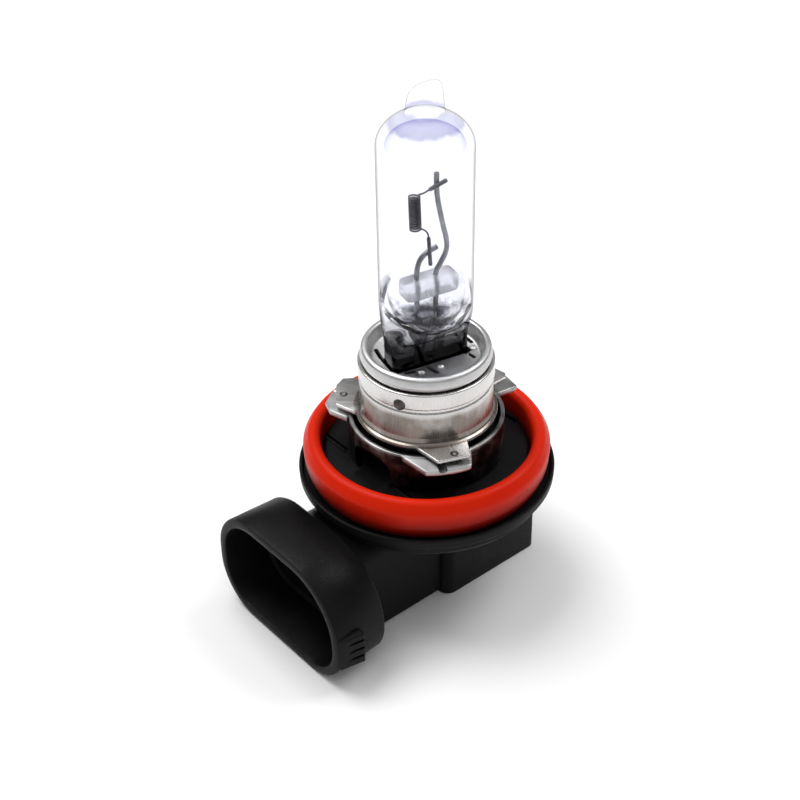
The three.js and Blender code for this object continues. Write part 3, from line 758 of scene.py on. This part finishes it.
# Lug outlines as (outwards, along the rim), in the order of LUG_AZIMUTHS
RING_LUGS = (
    [(7.6, -5.4), (11.6, -3.0, 0.4), (11.92, -1.4), (12.0, 0), (11.92, 1.4), (11.65, 2.5, 0.4), (8.8, 3.2)],
    [(7.6, -5.0), (11.6, -3.0, 0.4), (12.3, -1.1), (12.35, 1.7), (11.3, 3.2, 0.4), (8.8, 4.1)],
    [(7.6, -3.6), (8.9, -3.75), (11.0, -4.25), (11.6, -4.15), (12.3, -1.3), (12.1, 1.4), (11.65, 2.5),
     (8.8, 3.2)],
)
COLLAR_LUGS = (
    [(7.8, -3.4), (11.25, -1.45, 0.4), (11.0, 2.6, 0.4), (7.9, 2.9)],
    [(7.8, -3.0), (9.9, -3.0), (11.45, -2.5, 0.3), (11.8, -0.9), (10.65, 2.9, 0.4), (7.7, 3.9)],
    [(7.7, -2.8), (10.9, -2.9, 0.3), (11.6, -2.2), (11.2, 2.6, 0.4), (7.9, 2.9)],
)


def base_ring():
    outer, low, high = RING_RADIUS, RING_LOW.z, RING_HIGH.z
    inner = outer - RING_SHEET
    ring = revolve("locating_ring", rounded([
        (inner, low, 0.1), (outer, low, 0.1), (outer, high, 0.2), (inner, high, 0.12),
    ], closed=True), RING_STEEL, sides=160, closed=True)
    for azimuth, outline in zip(LUG_AZIMUTHS, RING_LUGS):
        plate = lug(outline, inner + 0.1, high - 0.8, high - 0.05, 0.14)
        groove = revolve("groove", [(0, -3), (0.55, -3), (0.55, 3), (0, 3)], None, sides=32)
        groove.data.transform(Matrix.Rotation(math.pi / 2, 4, "Y"))
        cut(plate, moved(groove, 11.6, -1.0, high + 0.1))
        join(ring, turned(plate, azimuth))
    cut(ring, lead_window())
    return settle(refreshed(ring, RING_STEEL), "bright_steel", "base_ring")


def collar():
    low, high, r = COLLAR_LOW.z, COLLAR_HIGH.z, SLEEVE_RADIUS
    profile = rounded([
        (COLLAR_BORE, low, 0.1), (COLLAR_FOOT, low, 0.15), (COLLAR_FOOT, low + 0.42, 0.16),
        (r + 0.1, low + 0.62, 0.3),
        (r, low + 1.3, 0.6), (r, low + 4.75, 0.12), (r - 0.14, low + 4.95, 0.1), (r - 0.14, low + 5.25, 0.1),
        (r + 0.1, low + 5.5, 0.15), (r + 0.1, high, 0.2), (COLLAR_BORE, high, 0.1),
    ], closed=True)
    sleeve = revolve("steel_collar", profile, COLLAR_STEEL, sides=160, closed=True)
    for azimuth, outline in zip(LUG_AZIMUTHS, COLLAR_LUGS):
        join(sleeve, turned(lug(outline, COLLAR_BORE + 0.05, low, low + LUG_SHEET, 0.12), azimuth))
    return settle(refreshed(sleeve, COLLAR_STEEL), "bright_steel", "reference_collar")


def holder_cup():
    rim, floor, bottom = CUP_HIGH.z, CUP_HIGH.z - 1.8, CUP_LOW.z
    seat = COLLAR_HIGH.z
    cup = revolve("pressed_cup", rounded([
        (0, floor - 0.45), (7.0, floor - 0.45, 0.2), (7.0, bottom), (7.4, bottom), (7.4, seat + 0.08, 0.1),
        (7.72, seat + 0.2, 0.15), (7.92, rim - 1.2, 0.6), (7.7, rim - 0.1, 0.5), (6.95, rim + 0.02, 0.35),
        (6.7, rim - 1.0, 0.5), (6.55, floor, 0.35), (0, floor),
    ]), CUP_STEEL, sides=160)
    tools = [slab("pinch_slot", box_outline(-5.25, 5.25, -1.85, 1.85, 0.4), floor - 2, floor + 2)]
    for x, y, length, lean in (
        (-0.8, -2.95, 2.2, -73), (4.55, -2.2, 2.2, -75), (-3.3, -2.25, 1.6, -12),
        (-2.6, 3.6, 2.2, -25), (2.6, 3.6, 2.2, 25), (-4.85, 2.9, 2.4, 82), (6.0, 0.7, 2.2, 95),
    ):
        slot = slab("slot", box_outline(-length / 2, length / 2, -0.27, 0.27, 0.26), floor - 2, floor + 0.6)
        tools.append(moved(turned(slot, lean), x, y))
    for tool in tools:
        cut(cup, turned(tool, CAPSULE_TURN))
    for x, y in ((-2.15, -2.75), (0.35, -2.85), (5.6, -1.35), (0.0, 3.4), (4.9, 2.6)):
        bead = revolve("bead", [
            (0, floor - 0.3), (0.5, floor - 0.3), (0.46, floor + 0.12), (0.3, floor + 0.24),
            (0, floor + 0.28),
        ], None, sides=24)
        join(cup, turned(moved(bead, x, y), CAPSULE_TURN))
    return settle(refreshed(cup, CUP_STEEL), "bright_steel", "holder_cup")


# ---- Capsule, drawn with X along the pinch's long side and then turned ----

TIP_LEAN = -27                      # direction of the tip's high side, degrees from the pinch's long side


def squarish(half_x, half_y, power, height, count=96):
    """A closed section: an ellipse at power 2, nearer a rectangle as the power grows."""
    ring = []
    for i in range(count):
        angle = 2 * math.pi * (i + 0.5) / count
        c, s = math.cos(angle), math.sin(angle)
        reach = (abs(c / half_x) ** power + abs(s / half_y) ** power) ** (-1 / power)
        ring.append((c * reach, s * reach, height))
    return ring


def glass_capsule():
    bottom = GLASS_LOW.z
    sections = [
        squarish(a, b, power, bottom + rise) for rise, a, b, power in (
            (0.0, 4.6, 1.2, 8), (0.12, 4.9, 1.5, 8), (0.4, 5.0, 1.6, 8), (7.6, 5.0, 1.6, 8),
            (8.6, 5.02, 1.7, 7), (9.4, 5.08, 2.05, 5.5), (10.2, 5.12, 2.7, 4.2), (11.0, 5.2, 3.5, 3.3),
            (11.8, 5.28, 4.3, 2.7),
            (12.6, 5.38, 4.95, 2.3), (13.4, 5.46, 5.35, 2.08), (14.2, GLASS_RADIUS, GLASS_RADIUS, 2),
        )
    ]
    rings = [(GLASS_RADIUS, SHOULDER - 12, 0), (GLASS_RADIUS, SHOULDER, 0)]
    for k in range(1, 13):
        angle = math.radians(64 * k / 12)
        rings.append((GLASS_RADIUS * math.cos(angle), SHOULDER + 4.1 * math.sin(angle), 0))
    rings += [
        (2.34, SHOULDER + 3.83, 0), (2.24, SHOULDER + 4.05, 0), (2.17, SHOULDER + 4.4, 0),
        (2.1, SHOULDER + 4.9, 0.02),
        (2.04, SHOULDER + 5.5, 0.12), (1.96, SHOULDER + 6.1, 0.24), (1.84, SHOULDER + 6.55, 0.32),
        (1.66, SHOULDER + 6.8, 0.35), (1.4, SHOULDER + 6.92, 0.36), (0.8, SHOULDER + 6.97, 0.36),
        (0.2, SHOULDER + 6.98, 0.36),
    ]
    lean = Vector((math.cos(math.radians(TIP_LEAN)), math.sin(math.radians(TIP_LEAN))))
    for radius, height, slant in rings:
        circle = squarish(radius, radius, 2, height)
        sections.append([(x, y, z + slant * (x * lean.x + y * lean.y)) for x, y, z in circle])
    shell = loft("quartz_capsule", sections, QUARTZ, 60)
    inner = GLASS_INNER
    cavity_low = [
        (0, 37.0), (1.4, 37.05), (2.6, 37.35), (3.5, 37.95), (4.15, 38.9), (4.42, 39.9), (inner, 41.2),
    ]
    dome = [(inner * math.cos(a), SHOULDER + 2.4 * math.sin(a)) for a in
            [math.radians(90 * k / 14) for k in range(15)]]
    cavity = revolve("cavity", spline_profile(cavity_low) + dome, None, sides=96, smooth=60)
    cut(shell, cavity)
    return capsule_part(refreshed(shell, QUARTZ, 60), "clear_quartz", "glass_envelope")


def spline_profile(points):
    """A smooth (radius, height) profile through the points."""
    return [(p.x, p.y) for p in spline([(x, y, 0) for x, y in points], 3)]


def capsule_part(shape, slot, *nodes):
    return settle(turned(shape, CAPSULE_TURN), slot, *nodes)


COIL_X = -1.34
COIL_BOTTOM = FLANGE_TOP + 32.7
COIL_LENGTH = 4.6
COIL_RADIUS = 0.61
COIL_LEAN = -0.15                   # sideways shift of the coil from bottom to top
COIL_TURNS = 15
COIL_WIRE_RADIUS = 0.105
FOOT_LEFT, FOOT_RIGHT = -1.2, 1.3   # where the support wires stand
FOOT_BOTTOM = 34.0
SUPPORT_RADIUS = 0.31
PASSAGE_RADIUS = 0.36               # of the bridge's holes for the support wires
CRIMP_Y = -0.62


def filament():
    per_turn = 20
    rise = COIL_LENGTH - 0.2
    helix = []
    for i in range(COIL_TURNS * per_turn + 1):
        angle = 2 * math.pi * i / per_turn
        share = i / (COIL_TURNS * per_turn)
        helix.append(Vector((
            COIL_X + COIL_LEAN * (share - 0.5) + COIL_RADIUS * math.cos(angle), COIL_RADIUS * math.sin(angle),
            COIL_BOTTOM + rise * share,
        )))
    top = COIL_BOTTOM + COIL_LENGTH
    lower = spline([
        (0.06, -0.64, COIL_BOTTOM - 1.2), (0.02, -0.6, COIL_BOTTOM - 0.7), (-0.12, -0.45, COIL_BOTTOM - 0.3),
        (-0.38, -0.25, COIL_BOTTOM - 0.06), helix[0],
    ], 6)
    upper = spline([
        helix[-1], (-0.55, -0.3, top - 0.05), (-0.3, -0.5, top + 0.15), (0.2, -0.63, top + 0.43),
    ], 6)
    coil = tube("tungsten_filament", lower[:-1] + helix + upper[1:], COIL_WIRE_RADIUS, TUNGSTEN, sides=8)
    return capsule_part(coil, "tungsten", "filament_coil")


def wires():
    top = COIL_BOTTOM + COIL_LENGTH
    long_path = [
        (FOOT_RIGHT, 0, FOOT_BOTTOM), (FOOT_RIGHT, 0, 40), (FOOT_RIGHT, 0, 42.9),
        (FOOT_RIGHT + 0.55, 0, 44.0),
        (FOOT_RIGHT + 1.15, 0, 45.0), (FOOT_RIGHT + 1.42, 0, 46.1), (FOOT_RIGHT + 1.28, 0, 47.4),
        (FOOT_RIGHT + 0.9, 0, 49.0), (FOOT_RIGHT + 0.25, 0, 52.3), (FOOT_RIGHT + 0.1, 0, 54.2),
        (FOOT_RIGHT + 0.1, 0, 55.75),
    ]
    short_path = [
        (FOOT_LEFT, 0, FOOT_BOTTOM), (FOOT_LEFT, 0, 40), (FOOT_LEFT, 0, 43.2), (FOOT_LEFT + 0.25, 0, 44.7),
        (FOOT_LEFT + 0.75, 0, 45.5), (FOOT_LEFT + 1.5, 0, 46.0), (FOOT_LEFT + 2.7, 0, 46.35),
    ]
    upper = [(0.15, CRIMP_Y, top + 0.4), (2.4, CRIMP_Y + 0.07, top + 1.0)]
    lower = [(0.28, CRIMP_Y, 44.55), (0.05, CRIMP_Y, COIL_BOTTOM - 1.0)]
    for name, path, radius, metal, node in (
        ("long_wire", spline(long_path), SUPPORT_RADIUS, MOLYBDENUM, "long_support_wire"),
        ("short_wire", spline(short_path), SUPPORT_RADIUS, MOLYBDENUM, "short_support_wire"),
        ("upper_crimp", spline(upper, 6), 0.25, CRIMP, "upper_filament_sleeve"),
        ("lower_crimp", spline(lower, 6), 0.23, CRIMP, "lower_filament_sleeve"),
    ):
        capsule_part(tube(name, path, radius, metal), "molybdenum", node)


def bridge():
    low, high = BRIDGE_LOW.z, BRIDGE_HIGH.z
    bar = slab("bridge_bar", box_outline(-3.0, 3.8, -1.4, 1.4, 0.7), low, high, edge=0.4, edge_steps=4)
    for x in (FOOT_LEFT, FOOT_RIGHT):
        hole = revolve("hole", [
            (0, low - 1), (PASSAGE_RADIUS, low - 1), (PASSAGE_RADIUS, high + 1), (0, high + 1),
        ], None, sides=32)
        cut(bar, moved(hole, x, 0))
    return capsule_part(refreshed(bar, FROSTED, 50), "clear_quartz", "quartz_bridge")


# ---- Pieces that keep their CAD mesh ----

def dress(node, material, bevel=0.12):
    shape = frame["nodes"][node]
    shape.data.materials.clear()
    shape.data.materials.append(material)
    edge = shape.modifiers.new("edge", "BEVEL")
    edge.width = bevel * MM
    edge.segments = 3
    edge.limit_method = "ANGLE"
    edge.harden_normals = True


def inner_pieces():
    for side in ("left", "right"):
        dress(f"contact_blade_{side}", TIN, 0.15)
        dress(f"lead_strap_{side}", TIN)
        dress(f"sealing_foil_{side}", MOLYBDENUM, 0.02)
        dress(f"outer_lead_{side}", MOLYBDENUM, 0.08)
    dress("pinch_clip", CUP_STEEL, 0.08)
    dress("potting_plug", RESIN, 0.2)
    dress("bottom_cover", BLACK, 0.15)


# ---- Studio ----

def floor():
    plane = bpy.data.meshes.new("studio_floor")
    reach = 1.5
    plane.from_pydata([(-reach, -reach, 0), (reach, -reach, 0), (reach, reach, 0), (-reach, reach, 0)], [],
                      [(0, 1, 2, 3)])
    shape = bpy.data.objects.new("studio_floor", plane)
    bpy.context.scene.collection.objects.link(shape)
    n = Nodes("pale_floor")
    n.set(Base_Color=(0.98, 0.98, 0.98, 1), Roughness=0.9)
    n.shader.inputs["Specular IOR Level"].default_value = 0.1
    plane.materials.append(n.material)


def area_light(name, azimuth, elevation, distance, size, power):
    """A soft square light that faces the bulb, in watts; azimuth 0 is on the -Y side."""
    data = bpy.data.lights.new(name, "AREA")
    data.size = size
    data.energy = power
    lamp = bpy.data.objects.new(name, data)
    bpy.context.scene.collection.objects.link(lamp)
    back = direction(azimuth, elevation)
    lamp.location = Vector((0, 0, 0.03)) + back * distance
    lamp.rotation_euler = back.to_track_quat("Z", "Y").to_euler()


def direction(azimuth, elevation):
    """A unit vector; azimuth 0 points along -Y and 90 along +X, in degrees."""
    a, e = math.radians(azimuth), math.radians(elevation)
    return Vector((math.sin(a) * math.cos(e), -math.cos(a) * math.cos(e), math.sin(e)))


def world():
    made = bpy.data.worlds.new("studio")
    bpy.context.scene.world = made
    made.use_nodes = True
    tree = made.node_tree
    background = tree.nodes["Background"]
    place = tree.nodes.new("ShaderNodeTexCoord")
    parts = tree.nodes.new("ShaderNodeSeparateXYZ")
    ramp = tree.nodes.new("ShaderNodeValToRGB")
    tree.links.new(place.outputs["Generated"], parts.inputs["Vector"])
    tree.links.new(parts.outputs["Z"], ramp.inputs["Fac"])
    tree.links.new(ramp.outputs["Color"], background.inputs["Color"])
    first, last = ramp.color_ramp.elements
    first.position, first.color = 0.05, (0.42, 0.42, 0.43, 1)
    last.position, last.color = 0.85, (1.0, 1.0, 1.0, 1)
    background.inputs["Strength"].default_value = 0.48


def camera():
    azimuth, elevation, distance = 50.1, 36.1, 0.1873
    aim_height, aim_left, roll = 0.0254, 0.00318, 0.96
    data = bpy.data.cameras.new("camera")
    data.lens = 69.75
    data.sensor_width = 36
    data.clip_start = 0.01
    view = bpy.data.objects.new("camera", data)
    bpy.context.scene.collection.objects.link(view)
    back = direction(azimuth, elevation)
    right = Vector((0, 0, 1)).cross(back).normalized()
    target = Vector((0, 0, aim_height)) - right * aim_left
    view.location = target + back * distance
    turn = back.to_track_quat("Z", "Y").to_matrix().to_4x4() @ Matrix.Rotation(-math.radians(roll), 4, "Z")
    view.rotation_euler = turn.to_euler()
    bpy.context.scene.camera = view


camera()
world()
floor()
area_light("key", -75, 62, 0.5, 0.34, 1.9)
area_light("fill", 70, 60, 0.7, 0.5, 0.4)
area_light("sheen", 165, 54, 0.5, 0.22, 0.8)
base_moulding()
seal()
base_ring()
collar()
weld_nuggets()
holder_cup()
glass_capsule()
filament()
wires()
bridge()
inner_pieces()

bpy.context.scene.view_settings.view_transform = "Standard"
